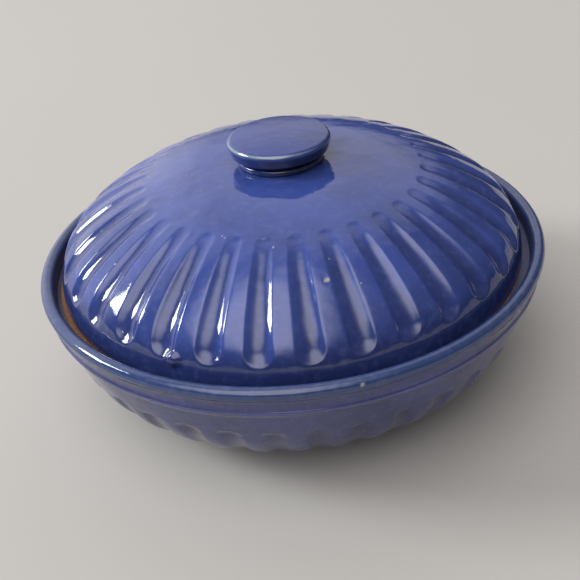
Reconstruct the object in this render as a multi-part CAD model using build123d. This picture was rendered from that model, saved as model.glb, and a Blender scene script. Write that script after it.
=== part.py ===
from build123d import *
from build123d.topology import SkipClean
import math
import os

# A round stoneware covered casserole dish: a fluted bowl with a gallery inside its rim, a fluted domed lid
# that rests in the gallery, and a button knob joined to the lid. Millimetres, +Z up, origin at the centre
# of the foot's underside. Every level called "below the rim" or "above the rim" is measured from the top
# of the dish's rim.

# Driving dimensions of the dish.
RIM_RADIUS = 125.0
DISH_HEIGHT = 72.0
LIP_WIDTH = 6.25
NECK_RADIUS = 123.6
NECK_BELOW_RIM = 6.2
BEAD_RADIUS = 122.9
BEAD_BELOW_RIM = 13.4
BEAD_HALF_HEIGHT = 1.5
BAND_FOOT_RADIUS = 122.3
WALL_HEAD_RADIUS = 121.5
WALL_LEAN = 18.0
BELLY_RADIUS = 50.0
BELLY_HEAD_RADIUS = 116.2
WALL_THICKNESS = 7.0
FOOT_OUTER_RADIUS = 69.5
FOOT_INNER_RADIUS = 60.0
FOOT_RECESS = 4.5
FOOT_ROUNDING = 1.5
FOOT_FLARE = 1.0

# The gallery, which is the ledge inside the rim that the lid rests on.
GALLERY_DEPTH = 9.0
GALLERY_WALL_RADIUS = 118.3
GALLERY_LEDGE_RADIUS = 110.5
LEDGE_ROUNDING = 1.5

# Driving dimensions of the lid.
LID_EDGE_RADIUS = 114.7
LID_RISE = 41.5
LID_THICKNESS = 6.5
LID_CLEARANCE = 0.3
CROWN_RADIUS = 112.5
CROWN_SLOPE = 38.0
SHOULDER_RADIUS = 31.5
LID_EDGE_ROUNDING = 1.0

# Flutes: round-bottomed scoops whose middle line is a flatter arc than the wall, so that each one runs out
# at both ends and is deepest between them.
SCOOP_RADIUS = 9.0
SCOOP_RUN_ON = 4.0
LID_FLUTES = 33
LID_FLUTE_TURN = 2.4
LID_FLUTE_SLOPES = (14.8, 45.0, 69.8)
LID_FLUTE_DEPTH = 2.4
DISH_FLUTES = 38
DISH_FLUTE_TURN = 2.3
DISH_FLUTE_HEAD_BELOW_RIM = 28.0
DISH_FLUTE_LEANS = (42.0, 76.0)
DISH_FLUTE_DEPTH = 1.9

# The knob: a collar on the lid, a narrow groove, and a button with a gently domed top.
COLLAR_FOOT_RADIUS = 19.8
COLLAR_RADIUS = 20.8
COLLAR_HEAD_RADIUS = 20.2
COLLAR_HEIGHT = 3.0
GROOVE_RADIUS = 18.4
GROOVE_HEIGHT = 4.5
GROOVE_HEAD_RADIUS = 22.2
GROOVE_HEAD_HEIGHT = 5.2
BUTTON_FOOT_RADIUS = 23.4
BUTTON_FOOT_HEIGHT = 5.8
BUTTON_RADIUS = 24.9
BUTTON_EDGE_HEIGHT = 11.4
BUTTON_CORNER = 0.6
BUTTON_FACE_RADIUS = 22.9
BUTTON_FACE_HEIGHT = 13.4
BUTTON_FACE_SLOPE = 0.15
KNOB_HEIGHT = 14.3


def turned(lines, angle=360):
    """The solid turned about the Z axis, from +X, out of a closed outline of lines in the XZ plane."""
    return revolve(make_face(lines), Axis.Z, angle)


def at(radius, height):
    """A point of a turned outline."""
    return (radius, 0, height)


def on_arc(centre, radius, angle):
    """The point of an arc in the XZ plane whose outward normal is angle degrees from straight up."""
    lean = math.radians(angle)
    return at(centre[0] + radius * math.sin(lean), centre[2] + radius * math.cos(lean))


def arc_between(centre, radius, start, end):
    """An arc about centre, from the normal angle start to the normal angle end."""
    angles = (start, (start + end) / 2, end)
    return ThreePointArc(*[on_arc(centre, radius, angle) for angle in angles])


def scoop(head, middle, tail):
    """A round-bottomed cutter whose middle line is an arc through three points, and runs on past its ends."""
    line = ThreePointArc(head, middle, tail)
    centre = line.arc_center
    start = Vector(*head) - centre
    turn = start.get_signed_angle(Vector(*tail) - centre, Vector(0, 1, 0))
    run_on = math.copysign(SCOOP_RUN_ON, turn)
    section = Plane(origin=head, z_dir=line % 0) * Circle(SCOOP_RADIUS)
    axis = Axis(centre, (0, 1, 0))
    return revolve(section.rotate(axis, -run_on), axis, turn + 2 * run_on)


def fluted(lines, cutter, count, turn):
    """A turned solid with a flute in each of its equal sectors, the first turned from the -Y side.

    Each sector is a half with half a flute, and its mirror image. The halves' faces stay apart, because
    one face with every flute cut out of it, or a flute whole, is hard to measure.
    """
    step = 360 / count
    half = turned(lines, step / 2) - cutter
    sector = [half, mirror(half, about=Plane.XZ)]
    turns = [turn - 90 + step * index for index in range(count)]
    first, *others = [Rot(0, 0, angle) * side for angle in turns for side in sector]
    with SkipClean():
        return first.fuse(*others)


def belly_centre():
    """Centre of the belly's arc in the XZ plane, which the leaning wall meets without a corner."""
    lean = math.radians(WALL_LEAN)
    wall_height = DISH_HEIGHT - BEAD_BELOW_RIM - BEAD_HALF_HEIGHT
    head = wall_height - (WALL_HEAD_RADIUS - BELLY_HEAD_RADIUS) / math.tan(lean)
    return at(BELLY_HEAD_RADIUS - BELLY_RADIUS * math.cos(lean), head + BELLY_RADIUS * math.sin(lean))


def wall_point(height, gap):
    """The point that stands off the leaning outer wall by gap, opposite the wall's given height."""
    lean = math.radians(WALL_LEAN)
    head = DISH_HEIGHT - BEAD_BELOW_RIM - BEAD_HALF_HEIGHT
    radius = WALL_HEAD_RADIUS - (head - height) * math.tan(lean)
    return at(radius + gap * math.cos(lean), height - gap * math.sin(lean))


def make_dish():
    """The bowl, with its foot ring, bead, rolled rim and inner gallery."""
    rim = DISH_HEIGHT
    centre = belly_centre()
    lip = rim - LIP_WIDTH / 2
    lip_centre = at(RIM_RADIUS - LIP_WIDTH / 2, lip)
    ledge = rim - GALLERY_DEPTH
    belly_head = 90 + WALL_LEAN
    foot_angle = 180 - math.degrees(math.asin((FOOT_OUTER_RADIUS + FOOT_FLARE - centre[0]) / BELLY_RADIUS))
    inner = BELLY_RADIUS - WALL_THICKNESS
    foot_round = at(FOOT_OUTER_RADIUS - FOOT_ROUNDING, FOOT_ROUNDING)
    ledge_round = at(GALLERY_LEDGE_RADIUS + LEDGE_ROUNDING, ledge - LEDGE_ROUNDING)
    outside = [
        Line(at(0, FOOT_RECESS), at(FOOT_INNER_RADIUS, FOOT_RECESS)),
        Line(at(FOOT_INNER_RADIUS, FOOT_RECESS), at(FOOT_INNER_RADIUS + FOOT_FLARE, 0)),
        Line(at(FOOT_INNER_RADIUS + FOOT_FLARE, 0), at(FOOT_OUTER_RADIUS - FOOT_ROUNDING, 0)),
        arc_between(foot_round, FOOT_ROUNDING, 180, 90),
        Line(at(FOOT_OUTER_RADIUS, FOOT_ROUNDING), on_arc(centre, BELLY_RADIUS, foot_angle)),
        arc_between(centre, BELLY_RADIUS, foot_angle, belly_head),
        Line(
            on_arc(centre, BELLY_RADIUS, belly_head),
            at(WALL_HEAD_RADIUS, rim - BEAD_BELOW_RIM - BEAD_HALF_HEIGHT),
        ),
        ThreePointArc(
            at(WALL_HEAD_RADIUS, rim - BEAD_BELOW_RIM - BEAD_HALF_HEIGHT),
            at(BEAD_RADIUS, rim - BEAD_BELOW_RIM),
            at(BAND_FOOT_RADIUS, rim - BEAD_BELOW_RIM + BEAD_HALF_HEIGHT),
        ),
        Line(
            at(BAND_FOOT_RADIUS, rim - BEAD_BELOW_RIM + BEAD_HALF_HEIGHT),
            at(NECK_RADIUS, rim - NECK_BELOW_RIM),
        ),
        TangentArc(at(RIM_RADIUS, lip), at(NECK_RADIUS, rim - NECK_BELOW_RIM), tangent=(0, 0, -1)),
        arc_between(lip_centre, LIP_WIDTH / 2, 90, 0),
        arc_between(lip_centre, LIP_WIDTH / 2, 0, -90),
    ]
    inside = [
        Line(at(RIM_RADIUS - LIP_WIDTH, lip), at(GALLERY_WALL_RADIUS, ledge)),
        Line(at(GALLERY_WALL_RADIUS, ledge), at(GALLERY_LEDGE_RADIUS + LEDGE_ROUNDING, ledge)),
        arc_between(ledge_round, LEDGE_ROUNDING, 0, -90),
        Line(at(GALLERY_LEDGE_RADIUS, ledge - LEDGE_ROUNDING), on_arc(centre, inner, belly_head)),
        arc_between(centre, inner, belly_head, 180),
        Line(on_arc(centre, inner, 180), at(0, centre[2] - inner)),
        Line(at(0, centre[2] - inner), at(0, FOOT_RECESS)),
    ]
    deepest, tail = DISH_FLUTE_LEANS
    cutter = scoop(
        wall_point(rim - DISH_FLUTE_HEAD_BELOW_RIM, SCOOP_RADIUS),
        on_arc(centre, BELLY_RADIUS + SCOOP_RADIUS - DISH_FLUTE_DEPTH, 90 + deepest),
        on_arc(centre, BELLY_RADIUS + SCOOP_RADIUS, 90 + tail),
    )
    return fluted(outside + inside, cutter, DISH_FLUTES, DISH_FLUTE_TURN)


def lid_arcs():
    """Centres in the XZ plane of the lid's crown arc and its shoulder arc, which meet without a corner."""
    slope = math.radians(CROWN_SLOPE)
    shoulder_radius = LID_EDGE_RADIUS - SHOULDER_RADIUS
    step = CROWN_RADIUS - SHOULDER_RADIUS
    top = DISH_HEIGHT + LID_RISE
    crown = at(shoulder_radius - step * math.sin(slope), top - CROWN_RADIUS)
    shoulder = at(shoulder_radius, top - CROWN_RADIUS + step * math.cos(slope))
    return crown, shoulder


def lid_outline(crown, shoulder, offset, rest):
    """Half the lid's outline, offset inwards: flat centre, crown, shoulder, and straight down to rest."""
    crown_radius = CROWN_RADIUS - offset
    shoulder_radius = SHOULDER_RADIUS - offset
    top = crown[2] + crown_radius
    edge = on_arc(shoulder, shoulder_radius, 90)
    return [
        Line(at(0, top), at(crown[0], top)),
        arc_between(crown, crown_radius, 0, CROWN_SLOPE),
        arc_between(shoulder, shoulder_radius, CROWN_SLOPE, 90),
        Line(edge, at(edge[0], rest)),
    ]


def make_lid():
    """The hollow domed lid. Its foot is a plain ring that rests in the dish's gallery."""
    crown, shoulder = lid_arcs()
    foot = DISH_HEIGHT - GALLERY_DEPTH + LID_CLEARANCE
    top = DISH_HEIGHT + LID_RISE
    inner_edge = LID_EDGE_RADIUS - LID_THICKNESS
    outer_round = at(LID_EDGE_RADIUS - LID_EDGE_ROUNDING, foot + LID_EDGE_ROUNDING)
    inner_round = at(inner_edge + LID_EDGE_ROUNDING, foot + LID_EDGE_ROUNDING)
    outline = [
        *lid_outline(crown, shoulder, 0, foot + LID_EDGE_ROUNDING),
        arc_between(outer_round, LID_EDGE_ROUNDING, 90, 180),
        Line(at(LID_EDGE_RADIUS - LID_EDGE_ROUNDING, foot), at(inner_edge + LID_EDGE_ROUNDING, foot)),
        arc_between(inner_round, LID_EDGE_ROUNDING, 180, 270),
        *lid_outline(crown, shoulder, LID_THICKNESS, foot + LID_EDGE_ROUNDING),
        Line(at(0, top - LID_THICKNESS), at(0, top)),
    ]
    head, deepest, tail = LID_FLUTE_SLOPES
    cutter = scoop(
        on_arc(crown, CROWN_RADIUS + SCOOP_RADIUS, head),
        on_arc(shoulder, SHOULDER_RADIUS + SCOOP_RADIUS - LID_FLUTE_DEPTH, deepest),
        on_arc(shoulder, SHOULDER_RADIUS + SCOOP_RADIUS, tail),
    )
    return fluted(outline, cutter, LID_FLUTES, LID_FLUTE_TURN)


def make_knob():
    """The button knob, whose collar meets the lid's flat centre face to face."""
    base = DISH_HEIGHT + LID_RISE
    collar_foot = at(COLLAR_FOOT_RADIUS, base)
    collar_side = at(COLLAR_RADIUS, base + COLLAR_HEIGHT / 2)
    collar_head = at(COLLAR_HEAD_RADIUS, base + COLLAR_HEIGHT)
    groove = at(GROOVE_RADIUS, base + GROOVE_HEIGHT)
    groove_head = at(GROOVE_HEAD_RADIUS, base + GROOVE_HEAD_HEIGHT)
    button_foot = at(BUTTON_FOOT_RADIUS, base + BUTTON_FOOT_HEIGHT)
    button_side = at(BUTTON_RADIUS, base + BUTTON_EDGE_HEIGHT)
    button_edge = at(BUTTON_RADIUS - BUTTON_CORNER, base + BUTTON_FACE_HEIGHT - BUTTON_CORNER)
    face_edge = at(BUTTON_FACE_RADIUS, base + BUTTON_FACE_HEIGHT)
    top = at(0, base + KNOB_HEIGHT)
    return turned(
        [
            Line(at(0, base), collar_foot),
            ThreePointArc(collar_foot, collar_side, collar_head),
            ThreePointArc(collar_head, groove, groove_head),
            Line(groove_head, button_foot),
            Line(button_foot, button_side),
            ThreePointArc(button_side, button_edge, face_edge),
            Spline(face_edge, top, tangents=[(-1, 0, BUTTON_FACE_SLOPE), (-1, 0, 0)]),
            Line(top, at(0, base)),
        ]
    )


PIECES = {"dish": make_dish, "lid": make_lid, "knob": make_knob}

os.makedirs("parts", exist_ok=True)
for name, make in PIECES.items():
    piece = make()
    export_step(piece, "parts/" + name + ".step")
    print(name, round(piece.volume), "mm3")
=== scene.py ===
"""The looks of a fluted stoneware covered casserole dish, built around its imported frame."""

import math

import bpy
import numpy as np
from mathutils import Matrix, Vector


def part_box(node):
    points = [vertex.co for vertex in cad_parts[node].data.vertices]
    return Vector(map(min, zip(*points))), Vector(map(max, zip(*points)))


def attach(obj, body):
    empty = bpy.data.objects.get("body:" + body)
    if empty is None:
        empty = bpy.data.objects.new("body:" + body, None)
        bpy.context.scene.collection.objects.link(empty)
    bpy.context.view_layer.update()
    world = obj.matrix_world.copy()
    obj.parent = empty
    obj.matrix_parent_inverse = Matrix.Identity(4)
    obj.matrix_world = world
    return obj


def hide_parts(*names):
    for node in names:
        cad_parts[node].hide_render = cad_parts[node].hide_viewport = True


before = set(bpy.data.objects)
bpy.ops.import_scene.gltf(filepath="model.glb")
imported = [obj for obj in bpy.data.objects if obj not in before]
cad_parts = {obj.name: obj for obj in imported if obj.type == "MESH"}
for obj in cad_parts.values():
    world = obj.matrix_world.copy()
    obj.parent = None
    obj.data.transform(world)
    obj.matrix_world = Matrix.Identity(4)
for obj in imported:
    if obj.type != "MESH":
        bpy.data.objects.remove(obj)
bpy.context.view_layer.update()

MM = 0.001

# ---------------------------------------------------------------- sizes, in millimetres and degrees
# The main sizes come from the frame, and the rest are the dish's own. Levels are above the surface that the
# dish stands on, except that the heights on the collar, groove and button are above the lid's top.
dish_low, dish_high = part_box("dish")
lid_low, lid_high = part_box("lid")
knob_low, knob_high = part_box("knob")
RIM_RADIUS = dish_high.x / MM
RIM = dish_high.z / MM
LID_EDGE_RADIUS = lid_high.x / MM
LID_FOOT = lid_low.z / MM
LID_TOP = lid_high.z / MM
KNOB_TOP = knob_high.z / MM
BUTTON_RADIUS = knob_high.x / MM

LIP_WIDTH = 6.25
LIP_BEND_INSET = 0.45
LIP_BEND_DROP = 1.6
NECK_RADIUS = 123.6
NECK = RIM - 6.2
BEAD_RADIUS = 122.9
BEAD = RIM - 13.4
BEAD_HALF_HEIGHT = 1.5
BAND_FOOT_RADIUS = 122.3
WALL_HEAD_RADIUS = 121.5
WALL_LEAN = 18.0
BELLY_RADIUS = 50.0
BELLY_HEAD_RADIUS = 116.2
WALL_THICKNESS = 7.0
FOOT_OUTER_RADIUS = 69.5
FOOT_FLARE = 1.0
FOOT_INNER_RADIUS = 60.0
FOOT_INNER_LEAN = 0.4
FOOT_RECESS = 4.5
FOOT_ROUNDING = 1.5
GALLERY_WALL_RADIUS = 118.3
LEDGE_RADIUS = 110.5
LEDGE = RIM - 9.0
LEDGE_ROUNDING = 1.5

LID_THICKNESS = 6.5
CROWN_RADIUS = 112.5
CROWN_SLOPE = 38.0
SHOULDER_RADIUS = 31.5
LID_FOOT_ROUNDING = 1.0

COLLAR_FOOT_RADIUS = 19.8
COLLAR_RADIUS = 20.8
COLLAR_HEAD_RADIUS = 20.2
COLLAR_HEIGHT = 3.0
GROOVE_RADIUS = 18.4
GROOVE_HEIGHT = 4.5
GROOVE_HEAD_RADIUS = 22.2
GROOVE_HEAD_HEIGHT = 5.2
BUTTON_FOOT_RADIUS = 23.4
BUTTON_FOOT_HEIGHT = 5.8
BUTTON_EDGE_HEIGHT = 10.6
BUTTON_CORNER = 0.75
BUTTON_FACE_RADIUS = 22.4
BUTTON_FACE_HEIGHT = 12.8

# A flute is a round-bottomed trough with round ends. Its half-width is a share of the flutes' spacing. The
# turn is how far round from the front the first flute lies.
LID_FLUTES = 33
LID_FLUTE_TURN = 2.4
LID_FLUTE_SLOPES = (16.8, 70.5)
DISH_FLUTES = 38
DISH_FLUTE_TURN = 2.3
DISH_FLUTE_HEAD = RIM - 28.0
DISH_FLUTE_TAIL_LEAN = 74.0
FLUTE_HALF_WIDTH = 0.285
# Hollow as a share of the half-width, length of the swell below the upper end, softness of the crest.
LID_FLUTE_FORM = (0.37, 22.0, 0.32)
DISH_FLUTE_FORM = (0.30, 3.0, 0.80)
FLUTE_HEAD_SHARE = 0.35
FLUTE_FADE = 10.0

# The unevenness of a hand-finished wall. On the dish it lies between the foot and the lip. On the lid it
# comes in below the plain crown.
WOBBLE = 0.10
DISH_WOBBLE_FOOT_RADIUS = FOOT_OUTER_RADIUS + 3.0
DISH_WOBBLE_HEAD = RIM - 6.0
LID_WOBBLE_HEAD = LID_TOP - 8.0
LID_WOBBLE_FADE = 20.0

# Small flaws: a chip in the lid's glaze, one in the rim's, and a drop of glaze that set below a flute. Here
# and below, a turn is an azimuth about +Z, with 0 at +X and -90 at the front.
LID_CHIP_TURN = -81.0
LID_CHIP_SLOPE = 29.5
LID_CHIP_RADIUS = 1.4
LID_CHIP_DEPTH = 0.4
RIM_CHIP_TURN = -79.0
RIM_CHIP_POINT = (RIM_RADIUS - 0.3, RIM - 2.2)
RIM_CHIP_RADIUS = 1.1
RIM_CHIP_DEPTH = 0.35
GLAZE_DROP_TURN = -117.5
GLAZE_DROP_SLOPE = 71.5
GLAZE_DROP_SWELL = 1.8
GLAZE_DROP_RADIUS = 3.0

# Steps between an outline's points, and columns round a piece.
FINE, PLAIN, COARSE = 0.6, 2.0, 5.0
BEAD_STEP = 0.35
LID_BAND_STEP = 1.2
KNOB_FINE, KNOB_PLAIN, KNOB_COARSE = 0.25, 0.3, 3.0
BUTTON_SIDE_STEP = 0.4
BUTTON_FACE_RINGS = 24
DISH_FLUTE_COLUMNS = 14
LID_FLUTE_COLUMNS = 24
KNOB_COLUMNS = 192
COLUMN_CROWDING = 0.5

# Where the glaze ends, thins, thickens or wears, and where shade and a highlight are painted into its
# colour. The ledge is wiped bare to a little past the lid's edge, furthest on the left.
FOOT_BARE_HEAD = 1.4
LID_BARE_HEAD = LID_FOOT + 1.8
LID_BARE_FADE = 1.2
LEDGE_WIPE = 0.9
LEDGE_WIPE_FADE = 0.5
# The ledge and gallery wall inside this radius get a duller glaze, painted darker as shade under the lid's
# edge.
LEDGE_DULL_AND_SHADE_RADIUS = GALLERY_WALL_RADIUS + 0.6
LIP_TINT_FADE = 2.0
WALL_CREST_SHARE = 0.4
BEAD_THINNING = 2.0
BEAD_THIN_REACH = 0.8
LID_POOL_SHARE = 0.7
# Painted shade: the lid darkens towards its lower edge, all round.
LOWER_SHADE_SHARE = 0.95
LOWER_SHADE_HEAD = LID_TOP - 25.0
LOWER_SHADE_FADE = 16.0
# A pale line along the button's rounded corner, worn glaze painted paler as a highlight on the front-left,
# towards the window.
BUTTON_SHEEN_TURN = -125.0
BUTTON_SHEEN_POINT = (BUTTON_RADIUS - 0.5, LID_TOP + BUTTON_FACE_HEIGHT - 0.9)
BUTTON_SHEEN_WIDTH = 0.8
# Painted shade on the knob: below the button's edge it is darker, except on the side that faces the window.
BUTTON_LIT_TURN = -165.0
BUTTON_SHADE_HEAD = LID_TOP + BUTTON_EDGE_HEIGHT + 0.5
BUTTON_SHADE_FADE = 2.0

# ---------------------------------------------------------------- colours and shine
# The pooled tints are glaze pooled in the flutes, and also painted shade on the lid's lower band and the
# knob's side.
GLAZES = {
    "dish_glaze": {
        "pooled_and_shaded": (0.028, 0.033, 0.105),
        "deep": (0.033, 0.039, 0.130),
        "middle": (0.052, 0.060, 0.195),
        "thin": (0.15, 0.17, 0.30),
        "lip": (0.028, 0.052, 0.150),
        "worn_and_sheen": (0.45, 0.42, 0.38),
    },
    "lid_glaze": {
        "pooled_and_shaded": (0.017, 0.027, 0.105),
        "deep": (0.027, 0.048, 0.190),
        "middle": (0.040, 0.070, 0.275),
        "thin": (0.11, 0.15, 0.40),
        "lip": (0.040, 0.070, 0.275),
        "worn_and_sheen": (0.50, 0.45, 0.33),
    },
    "knob_glaze": {
        # This pooled tint is painted shade under the button.
        "pooled_and_shaded": (0.010, 0.014, 0.030),
        "deep": (0.016, 0.034, 0.150),
        "middle": (0.024, 0.046, 0.215),
        "thin": (0.07, 0.11, 0.32),
        "lip": (0.024, 0.046, 0.215),
        # This worn tint is the pale line along the button's corner, a painted highlight.
        "worn_and_sheen": (0.27, 0.34, 0.32),
    },
}
PIT_TINT = (0.25, 0.27, 0.36)
CLAY_DARK = (0.20, 0.085, 0.030)
CLAY_PALE = (0.46, 0.22, 0.085)

# How far the glaze takes each other tint where that is strongest.
# The pooled tint is also painted shade.
POOLED_AND_SHADED_SHARE = 0.85
SPECKLE_SHARE = 0.18
CREST_SHARE = 0.25
# The dull tint darkens the gallery as painted shade.
DULL_AND_SHADE_SHARE = 0.8
GALLERY_SHADE_DARKNESS = 0.6
# The worn tint marks real chips, and on the knob a painted highlight along the button's corner.
WORN_AND_SHEEN_SHARE = 0.70
PIT_SHARE = 0.7

GLAZE_IOR = 1.62
GLAZE_ROUGHNESS = (0.055, 0.105)
DULL_ROUGHNESS = 0.4
CLAY_ROUGHNESS = 0.62
# The glaze's small relief: its size in metres, and each kind as a share of that.
RELIEF = 0.0012
RELIEF_STRENGTH = 0.6
PEEL_RELIEF = 0.05
PIT_RELIEF = 0.25
CLAY_RELIEF = 0.25

# ---------------------------------------------------------------- the room, in metres
FLOOR_REACH = 6.0
FLOOR_TONE = (0.47, 0.458, 0.42)
FLOOR_SHADE = 0.96
FLOOR_ROUGHNESS = 0.75
BACKDROP_TONE = (0.50, 0.485, 0.46)

WINDOW_PLACE = (-2.75, 0.35, 1.62)
WINDOW_TARGET = (0, 0, 0.06)
WINDOW_SIZE = (1.05, 0.95)
WINDOW_POWER = 68
WINDOW_TINT = (0.95, 0.98, 1.0)

# The room's light by direction. Each row is a soft round patch: how it joins the rows above it, the
# direction of its middle, the cosines of the angles from that to its outer edge and to where it is full, and
# its strengths at those two.
ROOM_TINT = (0.99, 0.96, 1.0)
ROOM_PATCHES = [
    ("ADD", (-0.12, -0.5, 0.858), (0.72, 0.95), (0.0, 2.7)),  # the ceiling
    ("MULTIPLY", (1, 0, 0), (-0.10, 0.40), (1.0, 0.15)),  # dimmer away from the window
    ("ADD", (0, 0, 1), (0.0, 0.8), (0.05, 0.20)),  # the rest of the room, a little paler overhead
    ("MAXIMUM", (-0.66, 0.66, 0.36), (0.66, 0.93), (0.0, 1.25)),  # the wall by the window
    ("MAXIMUM", (0, 0.70, 0.714), (0.72, 0.92), (0.0, 0.90)),  # the back wall
]

# The camera's place is in rim radii from the middle of the rim. It looks down by its pitch.
CAMERA_PLACE = (0.026, -3.179, 1.777)
CAMERA_PITCH = 32.74
CAMERA_YAW = -0.84
CAMERA_ROLL = -6.27
CAMERA_LENS = 55.8
CAMERA_SENSOR = 36.0


# ---------------------------------------------------------------- outlines
def line(start, end, step):
    """Points along a straight run of an outline, without the last one."""
    count = max(1, round(math.dist(start, end) / step))
    return [
        (start[0] + (end[0] - start[0]) * i / count, start[1] + (end[1] - start[1]) * i / count)
        for i in range(count)
    ]


def on_arc(centre, radius, angle):
    """The point of an arc whose outward normal is angle degrees from straight up."""
    lean = math.radians(angle)
    return (centre[0] + radius * math.sin(lean), centre[1] + radius * math.cos(lean))


def arc(centre, radius, start, end, step):
    """Points along an arc between two normal angles, without the last one."""
    count = max(2, round(radius * math.radians(abs(end - start)) / step))
    return [on_arc(centre, radius, start + (end - start) * i / count) for i in range(count)]


def circle_through(a, b, c):
    """Centre and radius of the circle through three points."""
    (ax, ay), (bx, by), (cx, cy) = a, b, c
    d = 2 * (ax * (by - cy) + bx * (cy - ay) + cx * (ay - by))
    aa, bb, cc = ax * ax + ay * ay, bx * bx + by * by, cx * cx + cy * cy
    x = (aa * (by - cy) + bb * (cy - ay) + cc * (ay - by)) / d
    y = (aa * (cx - bx) + bb * (ax - cx) + cc * (bx - ax)) / d
    return (x, y), math.dist((x, y), a)


def bent(start, through, end, step):
    """Points along the arc through three points, without the last one."""
    centre, radius = circle_through(start, through, end)
    points = (start, through, end)
    first, middle, last = [math.degrees(math.atan2(p[0] - centre[0], p[1] - centre[1])) for p in points]
    turn = (last - first + 180) % 360 - 180
    by_middle = (middle - first + 180) % 360 - 180
    if turn * by_middle < 0:
        turn -= math.copysign(360, turn)
    return arc(centre, radius, first, first + turn, step)


def rounded_foot(inner_centre, outer_centre, rounding):
    """Points under a foot with rounded edges, from its inner side to its outer side."""
    inner, outer = [on_arc(centre, rounding, 180) for centre in (inner_centre, outer_centre)]
    points = arc(inner_centre, rounding, 270, 180, FINE) + line(inner, outer, PLAIN)
    return points + arc(outer_centre, rounding, 180, 90, FINE)


# ---------------------------------------------------------------- turned meshes
def profile_normals(points):
    """Unit normals of an outline that runs anticlockwise as seen with the radius to the right."""
    points = np.array(points)
    ahead = np.roll(points, -1, 0) - points
    behind = points - np.roll(points, 1, 0)
    ahead /= np.linalg.norm(ahead, axis=1)[:, None] + 1e-12
    behind /= np.linalg.norm(behind, axis=1)[:, None] + 1e-12
    along = ahead + behind
    along[0], along[-1] = ahead[0], behind[-1]
    along /= np.linalg.norm(along, axis=1)[:, None] + 1e-12
    return np.stack([along[:, 1], -along[:, 0]], 1)


def columns_for(count, turn, per_flute):
    """Azimuths round a piece, crowded at the flutes' edges, from the first flute's middle."""
    step = 2 * math.pi / count
    share = np.arange(per_flute) / per_flute
    share = share + COLUMN_CROWDING * np.sin(4 * math.pi * share) / (4 * math.pi)
    return math.radians(turn - 90) + step * (np.arange(count)[:, None] + share[None, :]).ravel()


def turned_mesh(name, outline, azimuth, sink, facts):
    """A mesh turned about Z from an outline that starts and ends on the axis.

    sink is how far each grid point lies below the plain turned surface, and facts makes point attributes.
    """
    outline = np.array(outline)
    normals = profile_normals(outline)
    radius = outline[:, 0:1] - normals[:, 0:1] * sink
    height = outline[:, 1:2] - normals[:, 1:2] * sink
    grid = np.stack([radius * np.cos(azimuth), radius * np.sin(azimuth), height], 2)
    rows, columns = len(outline), len(azimuth)
    ring = grid[1:-1].reshape(-1, 3)
    points = np.concatenate([grid[0, :1], ring, grid[-1, :1]]) * MM
    last = len(points) - 1
    index = 1 + np.arange((rows - 2) * columns).reshape(rows - 2, columns)
    beside = np.roll(index, -1, 1)
    quads = np.stack([index[:-1], beside[:-1], beside[1:], index[1:]], 2).reshape(-1, 4)
    faces = [tuple(q) for q in quads.tolist()]
    faces += [(0, int(b), int(a)) for a, b in zip(index[0], beside[0])]
    faces += [(last, int(a), int(b)) for a, b in zip(index[-1], beside[-1])]
    mesh = bpy.data.meshes.new(name)
    mesh.from_pydata(points.tolist(), [], faces)
    mesh.polygons.foreach_set("use_smooth", [True] * len(mesh.polygons))
    for fact, values in facts(grid).items():
        values = np.broadcast_to(values, (rows, columns))
        flat = np.concatenate([[values[0, 0]], values[1:-1].ravel(), [values[-1, 0]]])
        attribute = mesh.attributes.new(fact, "FLOAT", "POINT")
        attribute.data.foreach_set("value", flat.astype(np.float32))
    mesh.update()
    obj = bpy.data.objects.new(name, mesh)
    bpy.context.scene.collection.objects.link(obj)
    return obj


def roundness(grid):
    """How convex the surface is at each grid point, in 1/mm: above 0 on ridges, below 0 in hollows."""
    around = np.stack([np.roll(grid, 2, 1), np.roll(grid, -2, 1)])
    along = np.stack([np.roll(grid, 2, 0), np.roll(grid, -2, 0)])
    du = around[1] - around[0]
    dv = along[1] - along[0]
    normal = np.cross(du, dv)
    normal /= np.linalg.norm(normal, axis=2)[..., None] + 1e-9
    bend = 0
    for pair in (around, along):
        before, after = pair[0] - grid, pair[1] - grid
        gap_b = np.linalg.norm(before, axis=2) + 1e-6
        gap_a = np.linalg.norm(after, axis=2) + 1e-6
        curve = 2 * (before / gap_b[..., None] + after / gap_a[..., None]) / (gap_a + gap_b)[..., None]
        bend = bend - (curve * normal).sum(2)
    return bend


def softly_above_zero(value, softness):
    """value where it is well above 0, 0 where it is well below, and a smooth bend between."""
    return 0.5 * (value + np.sqrt(value * value + softness * softness))


def run_along(outline):
    """How far along the outline each of its points is."""
    steps = np.linalg.norm(np.diff(np.array(outline), axis=0), axis=1)
    return np.concatenate([[0], np.cumsum(steps)])[:, None]


def run_at(outline, point):
    """How far along the outline its nearest point to the given one is."""
    return run_along(outline)[np.argmin(np.linalg.norm(np.array(outline) - np.array(point), axis=1)), 0]


def smooth_step(share):
    """0 up to a share of 0, 1 from a share of 1, and smooth between."""
    share = np.clip(share, 0, 1)
    return share * share * (3 - 2 * share)


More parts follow.
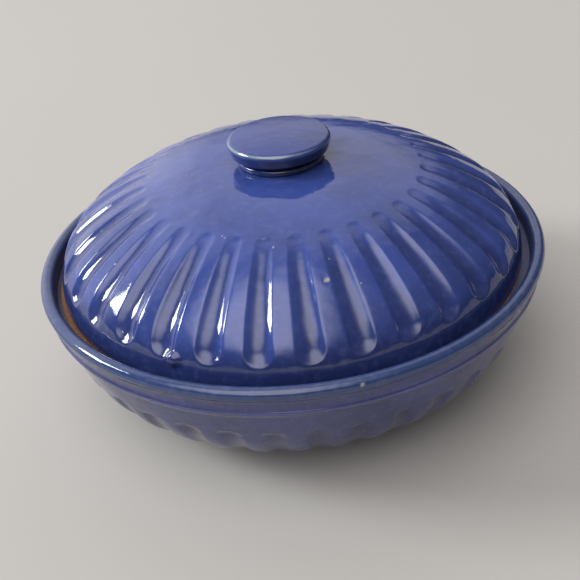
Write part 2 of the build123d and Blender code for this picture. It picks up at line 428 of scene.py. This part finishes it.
def flute_depth(outline, azimuth, ends, count, hollow, swell, softness):
    """Depth of the flutes at each grid point, and how deep that is within its flute, from 0 to 1.

    ends are the outline's points at a flute's lower and upper end. From the upper end down, it swells from
    a share of its depth to all of it.
    """
    run = run_along(outline)
    first, last = [run_at(outline, end) for end in ends]
    step = 2 * math.pi / count
    off = (azimuth - azimuth[0] + step / 2) % step - step / 2
    radius = np.array(outline)[:, 0:1]
    width = FLUTE_HALF_WIDTH * step * np.maximum(radius, 1)
    first_width, last_width = [FLUTE_HALF_WIDTH * step * end[0] for end in ends]
    beyond = np.maximum(np.maximum(first + first_width - run, run - last + last_width), 0)
    across = np.hypot(beyond, radius * off[None, :]) / width
    bottom = (1 + hollow * hollow) / (2 * hollow)
    share = np.sqrt(np.maximum(bottom**2 - across**2, 0)) - bottom + hollow
    fullness = FLUTE_HEAD_SHARE + (1 - FLUTE_HEAD_SHARE) * smooth_step((last - run) / swell)
    fade = fullness * np.clip(2 - beyond / FLUTE_FADE, 0, 1)
    return softly_above_zero(width * share, softness) * fade, np.clip(share / hollow, 0, 1) * fullness


def wobble(outline, azimuth):
    """The slight unevenness of a hand-finished wall under thick glaze: slow waves round it and down it."""
    run = run_along(outline) / 10
    waves = np.sin(9 * azimuth + 0.9 * run) * np.sin(1.3 * run + 1) + np.sin(17 * azimuth - 1.7 * run + 2)
    return WOBBLE * (1 + 0.5 * waves + 0.3 * np.sin(31 * azimuth + 2.3 * run))


def facing(azimuth, turn):
    """1 where a wall faces the given turn, falling to 0 on its far side."""
    return 0.5 + 0.5 * np.cos(azimuth - math.radians(turn))[None, :]


def spot(outline, azimuth, turn, point, size):
    """1 at the middle of a round spot of the given radius on the surface, fading to 0 past its edge."""
    off = (azimuth - math.radians(turn) + math.pi) % (2 * math.pi) - math.pi
    away = np.hypot(run_along(outline) - run_at(outline, point), point[0] * off[None, :])
    return np.exp(-((away / size) ** 4))


# ---------------------------------------------------------------- the dish
def belly_centre():
    """Centre of the belly's arc, which the leaning wall meets without a corner."""
    lean = math.radians(WALL_LEAN)
    head = BEAD - BEAD_HALF_HEIGHT - (WALL_HEAD_RADIUS - BELLY_HEAD_RADIUS) / math.tan(lean)
    return (BELLY_HEAD_RADIUS - BELLY_RADIUS * math.cos(lean), head + BELLY_RADIUS * math.sin(lean))


def dish_underside(centre):
    """Points from the middle of the underside over the foot ring and up the belly to the wall."""
    inner_foot = (FOOT_INNER_RADIUS + FOOT_ROUNDING + FOOT_INNER_LEAN, FOOT_ROUNDING)
    outer_foot = (FOOT_OUTER_RADIUS - FOOT_ROUNDING, FOOT_ROUNDING)
    foot_reach = FOOT_OUTER_RADIUS + FOOT_FLARE - centre[0]
    foot_angle = 180 - math.degrees(math.asin(foot_reach / BELLY_RADIUS))
    tail = 90 + DISH_FLUTE_TAIL_LEAN
    below_tail, above_tail = tail + 3, tail - 10
    belly_head = 90 + WALL_LEAN
    below_wall = belly_head + 9
    points = line((0, FOOT_RECESS), (FOOT_INNER_RADIUS, FOOT_RECESS), COARSE)
    points += line((FOOT_INNER_RADIUS, FOOT_RECESS), on_arc(inner_foot, FOOT_ROUNDING, 270), PLAIN)
    points += rounded_foot(inner_foot, outer_foot, FOOT_ROUNDING)
    points += line(on_arc(outer_foot, FOOT_ROUNDING, 90), on_arc(centre, BELLY_RADIUS, foot_angle), FINE)
    points += arc(centre, BELLY_RADIUS, foot_angle, below_tail, PLAIN)
    points += arc(centre, BELLY_RADIUS, below_tail, above_tail, FINE)
    points += arc(centre, BELLY_RADIUS, above_tail, below_wall, PLAIN)
    return points + arc(centre, BELLY_RADIUS, below_wall, belly_head, FINE)


def dish_wall(wall_foot):
    """Points up the fluted wall, over the bead and round the lip to its inner side."""
    bead_foot = (WALL_HEAD_RADIUS, BEAD - BEAD_HALF_HEIGHT)
    bead_head = (BAND_FOOT_RADIUS, BEAD + BEAD_HALF_HEIGHT)
    neck = (NECK_RADIUS, NECK)
    lip = RIM - LIP_WIDTH / 2
    above_flutes = DISH_FLUTE_HEAD + 4
    share = (above_flutes - wall_foot[1]) / (bead_foot[1] - wall_foot[1])
    past_flutes = (wall_foot[0] + share * (bead_foot[0] - wall_foot[0]), above_flutes)
    points = line(wall_foot, past_flutes, FINE)
    points += line(past_flutes, bead_foot, PLAIN)
    points += bent(bead_foot, (BEAD_RADIUS, BEAD), bead_head, BEAD_STEP)
    points += line(bead_head, neck, PLAIN)
    points += bent(neck, (RIM_RADIUS - LIP_BEND_INSET, lip - LIP_BEND_DROP), (RIM_RADIUS, lip), FINE)
    return points + arc((RIM_RADIUS - LIP_WIDTH / 2, lip), LIP_WIDTH / 2, 90, -90, FINE)


def dish_inside(centre):
    """Points from the lip down into the gallery, over its ledge and down to the middle of the floor."""
    lip_inside = (RIM_RADIUS - LIP_WIDTH, RIM - LIP_WIDTH / 2)
    corner = (GALLERY_WALL_RADIUS, LEDGE)
    ledge_edge = (LEDGE_RADIUS + LEDGE_ROUNDING, LEDGE - LEDGE_ROUNDING)
    belly_head = 90 + WALL_LEAN
    inner = BELLY_RADIUS - WALL_THICKNESS
    floor = centre[1] - inner
    points = line(lip_inside, corner, PLAIN)
    points += line(corner, on_arc(ledge_edge, LEDGE_ROUNDING, 0), FINE)
    points += arc(ledge_edge, LEDGE_ROUNDING, 0, -90, FINE)
    points += line(on_arc(ledge_edge, LEDGE_ROUNDING, -90), on_arc(centre, inner, belly_head), COARSE)
    points += arc(centre, inner, belly_head, 180, COARSE)
    points += line(on_arc(centre, inner, 180), (0, floor), COARSE * 2)
    return points + [(0, floor)]


def make_dish():
    centre = belly_centre()
    wall_foot = on_arc(centre, BELLY_RADIUS, 90 + WALL_LEAN)
    outline = dish_underside(centre) + dish_wall(wall_foot) + dish_inside(centre)
    below_bead = BEAD - BEAD_HALF_HEIGHT - DISH_FLUTE_HEAD
    flute_head = (WALL_HEAD_RADIUS - below_bead * math.tan(math.radians(WALL_LEAN)), DISH_FLUTE_HEAD)
    ends = (on_arc(centre, BELLY_RADIUS, 90 + DISH_FLUTE_TAIL_LEAN), flute_head)
    azimuth = columns_for(DISH_FLUTES, DISH_FLUTE_TURN, DISH_FLUTE_COLUMNS)
    depth, pool_and_shade = flute_depth(outline, azimuth, ends, DISH_FLUTES, *DISH_FLUTE_FORM)
    radii, heights = np.array(outline)[:, 0:1], np.array(outline)[:, 1:2]
    below_lip = run_along(outline) < run_at(outline, (RIM_RADIUS, DISH_WOBBLE_HEAD))
    outer_wall = (radii > DISH_WOBBLE_FOOT_RADIUS) & below_lip
    depth = depth + wobble(outline, azimuth) * outer_wall
    chip = spot(outline, azimuth, RIM_CHIP_TURN, RIM_CHIP_POINT, RIM_CHIP_RADIUS)

    def facts(grid):
        inside = (radii < GALLERY_WALL_RADIUS + 1) & (heights > LEDGE - 3)
        by_ledge = inside & (radii > LEDGE_RADIUS - 1)
        wiped = LID_EDGE_RADIUS + LEDGE_WIPE - LEDGE_WIPE * np.cos(azimuth)[None, :]
        ledge = np.clip(wiped + LEDGE_WIPE_FADE - radii, 0, 1) * (by_ledge & (heights < LEDGE + 0.2))
        foot = np.clip(FOOT_BARE_HEAD - heights, 0, 1) * (radii < FOOT_OUTER_RADIUS + 1)
        crests = roundness(grid)
        crests = np.where(heights > BEAD - 2 * BEAD_HALF_HEIGHT, crests, WALL_CREST_SHARE * crests)
        bead = BEAD_THINNING * np.exp(-(((heights - BEAD) / BEAD_THIN_REACH) ** 2)) * outer_wall
        return {
            "edge": crests + bead,
            "pool_and_shade": pool_and_shade,
            "bare": np.maximum(ledge, foot),
            "worn_and_sheen": chip,
            "lip": np.clip(np.clip((heights - NECK) / LIP_TINT_FADE, 0, 1) + inside, 0, 1),
            # Painted shade: the ledge and gallery wall, in the gap under the lid, are darker as well as
            # duller.
            "dull_and_shade": by_ledge & (radii < LEDGE_DULL_AND_SHADE_RADIUS),
        }

    return turned_mesh("dish_body", outline, azimuth, depth + RIM_CHIP_DEPTH * chip, facts)


# ---------------------------------------------------------------- the lid
def lid_arcs():
    """Centres of the crown's and the shoulder's arcs, which meet without a corner."""
    slope = math.radians(CROWN_SLOPE)
    shoulder_radius = LID_EDGE_RADIUS - SHOULDER_RADIUS
    step = CROWN_RADIUS - SHOULDER_RADIUS
    crown = (shoulder_radius - step * math.sin(slope), LID_TOP - CROWN_RADIUS)
    shoulder = (shoulder_radius, LID_TOP - CROWN_RADIUS + step * math.cos(slope))
    return crown, shoulder


def lid_outline(crown, shoulder):
    """Points from the middle of the underside round the foot to the middle of the top."""
    under = LID_TOP - LID_THICKNESS
    edge = on_arc(shoulder, SHOULDER_RADIUS, 90)
    inner_edge = on_arc(shoulder, SHOULDER_RADIUS - LID_THICKNESS, 90)
    outer_foot = (LID_EDGE_RADIUS - LID_FOOT_ROUNDING, LID_FOOT + LID_FOOT_ROUNDING)
    inner_foot = (inner_edge[0] + LID_FOOT_ROUNDING, LID_FOOT + LID_FOOT_ROUNDING)
    head, tail = LID_FLUTE_SLOPES
    below_tail, above_tail = tail + 5, tail - 13
    below_head, above_head = head + 5, head - 2
    points = line((0, under), (crown[0], under), COARSE)
    points += arc(crown, CROWN_RADIUS - LID_THICKNESS, 0, CROWN_SLOPE, COARSE)
    points += arc(shoulder, SHOULDER_RADIUS - LID_THICKNESS, CROWN_SLOPE, 90, COARSE)
    points += line(inner_edge, on_arc(inner_foot, LID_FOOT_ROUNDING, 270), FINE)
    points += rounded_foot(inner_foot, outer_foot, LID_FOOT_ROUNDING)
    points += line(on_arc(outer_foot, LID_FOOT_ROUNDING, 90), edge, FINE)
    points += arc(shoulder, SHOULDER_RADIUS, 90, below_tail, LID_BAND_STEP)
    points += arc(shoulder, SHOULDER_RADIUS, below_tail, above_tail, FINE)
    points += arc(shoulder, SHOULDER_RADIUS, above_tail, CROWN_SLOPE, PLAIN)
    points += arc(crown, CROWN_RADIUS, CROWN_SLOPE, below_head, PLAIN)
    points += arc(crown, CROWN_RADIUS, below_head, above_head, FINE)
    points += arc(crown, CROWN_RADIUS, above_head, 0, PLAIN)
    points += line((crown[0], LID_TOP), (0, LID_TOP), COARSE)
    return points + [(0, LID_TOP)]


def make_lid():
    crown, shoulder = lid_arcs()
    head, tail = LID_FLUTE_SLOPES
    ends = (on_arc(shoulder, SHOULDER_RADIUS, tail), on_arc(crown, CROWN_RADIUS, head))
    outline = lid_outline(crown, shoulder)
    azimuth = columns_for(LID_FLUTES, LID_FLUTE_TURN, LID_FLUTE_COLUMNS)
    depth, pool_and_shade = flute_depth(outline, azimuth, ends, LID_FLUTES, *LID_FLUTE_FORM)
    heights = np.array(outline)[:, 1:2]
    outside = run_along(outline) > run_at(outline, (LID_EDGE_RADIUS, LID_FOOT + 2))
    low = np.clip((LID_WOBBLE_HEAD - heights) / LID_WOBBLE_FADE, 0, 1)
    depth = depth + wobble(outline, azimuth) * outside * low
    flat = 0 * depth
    chip_point = on_arc(crown, CROWN_RADIUS, LID_CHIP_SLOPE)
    chip = spot(outline, azimuth, LID_CHIP_TURN, chip_point, LID_CHIP_RADIUS)
    drop_point = on_arc(shoulder, SHOULDER_RADIUS, GLAZE_DROP_SLOPE)
    drop = spot(outline, azimuth, GLAZE_DROP_TURN, drop_point, GLAZE_DROP_RADIUS)
    # Painted shade: darker towards the lid's lower edge, all round.
    lower_shade = LOWER_SHADE_SHARE * smooth_step((LOWER_SHADE_HEAD - heights) / LOWER_SHADE_FADE) * outside

    def facts(grid):
        return {
            "edge": roundness(grid),
            "pool_and_shade": np.maximum(LID_POOL_SHARE * pool_and_shade, lower_shade),
            "bare": np.clip((LID_BARE_HEAD - heights) / LID_BARE_FADE, 0, 1),
            "worn_and_sheen": chip,
            "lip": flat,
            "dull_and_shade": flat,
        }

    sink = depth + LID_CHIP_DEPTH * chip - GLAZE_DROP_SWELL * drop
    return turned_mesh("lid_shell", outline, azimuth, sink, facts)


# ---------------------------------------------------------------- the knob
def knob_outline():
    """Points from the middle of the knob's foot over its collar, groove and button to its middle."""
    base = LID_TOP
    collar_foot = (COLLAR_FOOT_RADIUS, base)
    collar_side = (COLLAR_RADIUS, base + COLLAR_HEIGHT / 2)
    collar_head = (COLLAR_HEAD_RADIUS, base + COLLAR_HEIGHT)
    groove = (GROOVE_RADIUS, base + GROOVE_HEIGHT)
    groove_head = (GROOVE_HEAD_RADIUS, base + GROOVE_HEAD_HEIGHT)
    button_foot = (BUTTON_FOOT_RADIUS, base + BUTTON_FOOT_HEIGHT)
    button_side = (BUTTON_RADIUS, base + BUTTON_EDGE_HEIGHT)
    button_edge = (BUTTON_RADIUS - BUTTON_CORNER, base + BUTTON_FACE_HEIGHT - BUTTON_CORNER)
    face_edge = (BUTTON_FACE_RADIUS, base + BUTTON_FACE_HEIGHT)
    points = line((0, base), collar_foot, KNOB_COARSE)
    points += bent(collar_foot, collar_side, collar_head, KNOB_FINE)
    points += bent(collar_head, groove, groove_head, KNOB_PLAIN)
    points += line(groove_head, button_foot, KNOB_PLAIN)
    points += line(button_foot, button_side, BUTTON_SIDE_STEP)
    points += bent(button_side, button_edge, face_edge, KNOB_FINE)
    rise = KNOB_TOP - face_edge[1]
    shares = [1 - i / BUTTON_FACE_RINGS for i in range(BUTTON_FACE_RINGS + 1)]
    return points + [(BUTTON_FACE_RADIUS * share, KNOB_TOP - rise * share**2) for share in shares]


def make_knob():
    outline = knob_outline()
    azimuth = np.arange(KNOB_COLUMNS) * 2 * math.pi / KNOB_COLUMNS
    radii, heights = np.array(outline)[:, 0:1], np.array(outline)[:, 1:2]
    flat = 0 * radii * azimuth

    def facts(grid):
        # Painted highlight: a pale line along the button's rounded corner, strongest towards the window.
        from_corner = np.hypot(radii - BUTTON_SHEEN_POINT[0], heights - BUTTON_SHEEN_POINT[1])
        worn_and_sheen = np.exp(-((from_corner / BUTTON_SHEEN_WIDTH) ** 2)) * facing(azimuth, BUTTON_SHEEN_TURN) ** 1.5
        # Painted shade: the button's side, the groove and the collar darken away from the window's side.
        side = np.clip((BUTTON_SHADE_HEAD - heights) / BUTTON_SHADE_FADE, 0, 1)
        pool_and_shade = side * (1 - facing(azimuth, BUTTON_LIT_TURN) ** 4)
        return {
            "edge": roundness(grid),
            "pool_and_shade": pool_and_shade,
            "bare": flat,
            "worn_and_sheen": worn_and_sheen,
            "lip": flat,
            "dull_and_shade": flat,
        }

    return turned_mesh("knob_button", outline, azimuth, flat, facts)


# ---------------------------------------------------------------- materials
class Nodes:
    """Short names for building a node tree."""

    def __init__(self, tree):
        self.tree = tree

    def add(self, kind, **settings):
        node = self.tree.nodes.new(kind)
        for key, value in settings.items():
            setattr(node, key, value)
        return node

    def link(self, source, target):
        self.tree.links.new(source, target)

    def fill(self, socket, value):
        if isinstance(value, bpy.types.NodeSocket):
            self.link(value, socket)
        else:
            socket.default_value = value

    def math(self, operation, a, b):
        node = self.add("ShaderNodeMath", operation=operation)
        self.fill(node.inputs[0], a)
        self.fill(node.inputs[1], b)
        return node.outputs[0]

    def plus(self, a, b):
        return self.math("ADD", a, b)

    def times(self, a, b):
        return self.math("MULTIPLY", a, b)

    def swing(self, noise, size):
        """The noise about its middle, times size."""
        return self.times(self.math("SUBTRACT", noise, 0.5), size)

    def mix(self, share, a, b):
        node = self.add("ShaderNodeMix", data_type="RGBA")
        self.fill(node.inputs[0], share)
        self.fill(node.inputs[6], a)
        self.fill(node.inputs[7], b)
        return node.outputs[2]

    def ramp(self, value, low, high, at_low=0.0, at_high=1.0):
        """at_low where value is low, at_high where it is high, and smooth between."""
        node = self.add("ShaderNodeMapRange", interpolation_type="SMOOTHSTEP")
        self.fill(node.inputs["Value"], value)
        node.inputs["From Min"].default_value = low
        node.inputs["From Max"].default_value = high
        node.inputs["To Min"].default_value = at_low
        node.inputs["To Max"].default_value = at_high
        return node.outputs["Result"]

    def place(self):
        return self.add("ShaderNodeTexCoord").outputs["Object"]

    def noise(self, where, scale, detail, roughness=0.5):
        """Soft noise with about scale bumps per metre."""
        node = self.add("ShaderNodeTexNoise")
        self.link(where, node.inputs["Vector"])
        node.inputs["Scale"].default_value = scale
        node.inputs["Detail"].default_value = detail
        node.inputs["Roughness"].default_value = roughness
        return node.outputs["Fac"]

    def cells(self, where, scale):
        """Distance to the nearest of scattered points, as a share of their spacing."""
        node = self.add("ShaderNodeTexVoronoi", feature="F1")
        self.link(where, node.inputs["Vector"])
        node.inputs["Scale"].default_value = scale
        return node.outputs["Distance"]

    def fact(self, name):
        return self.add("ShaderNodeAttribute", attribute_name=name).outputs["Fac"]


def colour(red, green, blue):
    return (red, green, blue, 1.0)


def new_material(name):
    """A material, its nodes and its shader."""
    material = bpy.data.materials.new(name)
    material.use_nodes = True
    n = Nodes(material.node_tree)
    return material, n, n.tree.nodes["Principled BSDF"]


def glaze(name, pooled_and_shaded, deep, middle, thin, lip, worn_and_sheen):
    """A glossy cobalt glaze over brown clay: darker where it pools, paler where it runs thin on an edge.

    Its colour also carries painted shade on the lid's lower band, under the knob's button and in the
    dish's gallery, and a painted highlight along the button's rounded corner.
    """
    material, n, shader = new_material(name)
    where = n.place()
    cloud = n.noise(where, scale=22, detail=4, roughness=0.6)
    fine = n.noise(where, scale=260, detail=3, roughness=0.6)
    grain = n.noise(where, scale=700, detail=5, roughness=0.7)
    pit = n.ramp(n.cells(where, scale=120), 0.075, 0.045)
    pit = n.times(pit, n.ramp(n.noise(where, scale=35, detail=1), 0.60, 0.66))
    crest = n.ramp(n.plus(n.fact("edge"), n.swing(cloud, 0.1)), 0.5, 1.6)
    wear_and_sheen = n.ramp(n.plus(n.fact("worn_and_sheen"), n.swing(fine, 0.3)), 0.2, 0.9)
    bare = n.ramp(n.times(n.fact("bare"), n.plus(fine, 0.5)), 0.42, 0.60)
    dull_and_shade = n.fact("dull_and_shade")

    tints = [
        (n.fact("lip"), lip),
        # Glaze pooled in the flutes, and painted shade on the lid's lower band and under the knob's button.
        (n.times(n.ramp(n.fact("pool_and_shade"), 0.1, 1.0), POOLED_AND_SHADED_SHARE), pooled_and_shaded),
        (n.times(n.ramp(fine, 0.45, 0.75), SPECKLE_SHARE), thin),
        (n.times(crest, CREST_SHARE), thin),
        # Painted shade in the dish's gallery, with a duller glaze there.
        (n.times(dull_and_shade, DULL_AND_SHADE_SHARE), [GALLERY_SHADE_DARKNESS * c for c in deep]),
        # Chips in the glaze, and a painted highlight along the button's corner.
        (n.times(wear_and_sheen, WORN_AND_SHEEN_SHARE), worn_and_sheen),
        (n.times(pit, PIT_SHARE), PIT_TINT),
    ]
    body = n.mix(n.ramp(cloud, 0.35, 0.68), colour(*middle), colour(*deep))
    for share, tint in tints:
        body = n.mix(share, body, colour(*tint))
    clay = n.mix(n.ramp(grain, 0.3, 0.75), colour(*CLAY_DARK), colour(*CLAY_PALE))
    n.link(n.mix(bare, body, clay), shader.inputs["Base Color"])

    unglazed = n.math("MAXIMUM", n.times(bare, CLAY_ROUGHNESS), n.times(dull_and_shade, DULL_ROUGHNESS))
    n.link(n.plus(n.ramp(fine, 0.3, 0.8, *GLAZE_ROUGHNESS), unglazed), shader.inputs["Roughness"])
    shader.inputs["IOR"].default_value = GLAZE_IOR

    swell = n.noise(where, scale=55, detail=2)
    peel = n.times(n.noise(where, scale=330, detail=2), PEEL_RELIEF)
    relief = n.math("SUBTRACT", n.plus(swell, peel), n.times(pit, PIT_RELIEF))
    relief = n.plus(relief, n.times(n.times(grain, bare), CLAY_RELIEF))
    bump = n.add("ShaderNodeBump")
    bump.inputs["Strength"].default_value = RELIEF_STRENGTH
    bump.inputs["Distance"].default_value = RELIEF
    n.link(relief, bump.inputs["Height"])
    n.link(bump.outputs["Normal"], shader.inputs["Normal"])
    return material


def floor_paint():
    """A matt, nearly even paint."""
    material, n, shader = new_material("pale_floor")
    darker = [FLOOR_SHADE * c for c in FLOOR_TONE]
    clouds = n.noise(n.place(), scale=3, detail=2)
    n.link(n.mix(clouds, colour(*FLOOR_TONE), colour(*darker)), shader.inputs["Base Color"])
    shader.inputs["Roughness"].default_value = FLOOR_ROUGHNESS
    shader.inputs["Specular IOR Level"].default_value = 0.0
    return material


# ---------------------------------------------------------------- stage, light and camera
def make_stage():
    """A wide pale floor."""
    mesh = bpy.data.meshes.new("floor")
    corners = [(FLOOR_REACH * x, FLOOR_REACH * y, 0) for x, y in ((-1, -1), (1, -1), (1, 1), (-1, 1))]
    mesh.from_pydata(corners, [], [(0, 1, 2, 3)])
    mesh.materials.append(floor_paint())
    floor = bpy.data.objects.new("floor", mesh)
    bpy.context.scene.collection.objects.link(floor)


def make_window():
    """The one lamp: a rectangle of daylight, turned towards the dish."""
    data = bpy.data.lights.new("window", "AREA")
    data.shape = "RECTANGLE"
    data.size, data.size_y = WINDOW_SIZE
    data.energy = WINDOW_POWER
    data.color = WINDOW_TINT
    lamp = bpy.data.objects.new("window", data)
    lamp.location = WINDOW_PLACE
    ahead = Vector(WINDOW_TARGET) - Vector(WINDOW_PLACE)
    lamp.rotation_euler = ahead.to_track_quat("-Z", "Y").to_euler()
    bpy.context.scene.collection.objects.link(lamp)


def make_room():
    """The light of a room round the dish, mirrored in its glaze.

    Past the floor's end, the view shows a plain backdrop in its place.
    """
    world = bpy.data.worlds.new("room")
    bpy.context.scene.world = world
    world.use_nodes = True
    n = Nodes(world.node_tree)
    direction = n.add("ShaderNodeTexCoord").outputs["Generated"]
    strength = 0.0
    for joined_by, middle, cosines, strengths in ROOM_PATCHES:
        nearness = n.add("ShaderNodeVectorMath", operation="DOT_PRODUCT")
        n.link(direction, nearness.inputs[0])
        nearness.inputs[1].default_value = middle
        strength = n.math(joined_by, strength, n.ramp(nearness.outputs["Value"], *cosines, *strengths))
    room = n.tree.nodes["Background"]
    room.inputs["Color"].default_value = colour(*ROOM_TINT)
    n.link(strength, room.inputs["Strength"])
    backdrop = n.add("ShaderNodeBackground")
    backdrop.inputs["Color"].default_value = colour(*BACKDROP_TONE)
    either = n.add("ShaderNodeMixShader")
    n.link(n.add("ShaderNodeLightPath").outputs["Is Camera Ray"], either.inputs[0])
    n.link(room.outputs[0], either.inputs[1])
    n.link(backdrop.outputs[0], either.inputs[2])
    n.link(either.outputs[0], n.tree.nodes["World Output"].inputs["Surface"])


def make_camera():
    """A camera in front of the dish, looking down on it, tipped a little to one side."""
    reach = RIM_RADIUS * MM
    right_of, ahead_of, above = CAMERA_PLACE
    place = Vector((right_of * reach, ahead_of * reach, RIM * MM + above * reach))
    pitch, yaw, roll = math.radians(CAMERA_PITCH), math.radians(CAMERA_YAW), math.radians(CAMERA_ROLL)
    ahead = Vector((math.sin(yaw) * math.cos(pitch), math.cos(yaw) * math.cos(pitch), -math.sin(pitch)))
    level = Vector((math.cos(yaw), -math.sin(yaw), 0))
    upright = level.cross(ahead)
    right = math.cos(roll) * level + math.sin(roll) * upright
    up = -math.sin(roll) * level + math.cos(roll) * upright
    data = bpy.data.cameras.new("camera")
    data.lens = CAMERA_LENS
    data.sensor_width = CAMERA_SENSOR
    camera = bpy.data.objects.new("camera", data)
    turn = Matrix((right, up, -ahead)).transposed()
    camera.matrix_world = Matrix.Translation(place) @ turn.to_4x4()
    bpy.context.scene.collection.objects.link(camera)
    bpy.context.scene.camera = camera


# ---------------------------------------------------------------- making the scene
make_camera()
make_stage()
make_window()
make_room()

PIECES = [
    (make_dish(), "dish", "dish", "dish_glaze"),
    (make_lid(), "lid", "lid", "lid_glaze"),
    (make_knob(), "knob", "lid", "knob_glaze"),
]
for piece, node, body, slot in PIECES:
    piece.data.materials.append(glaze(slot, **GLAZES[slot]))
    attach(piece, body)
    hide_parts(node)

bpy.context.scene.view_settings.view_transform = "Standard"
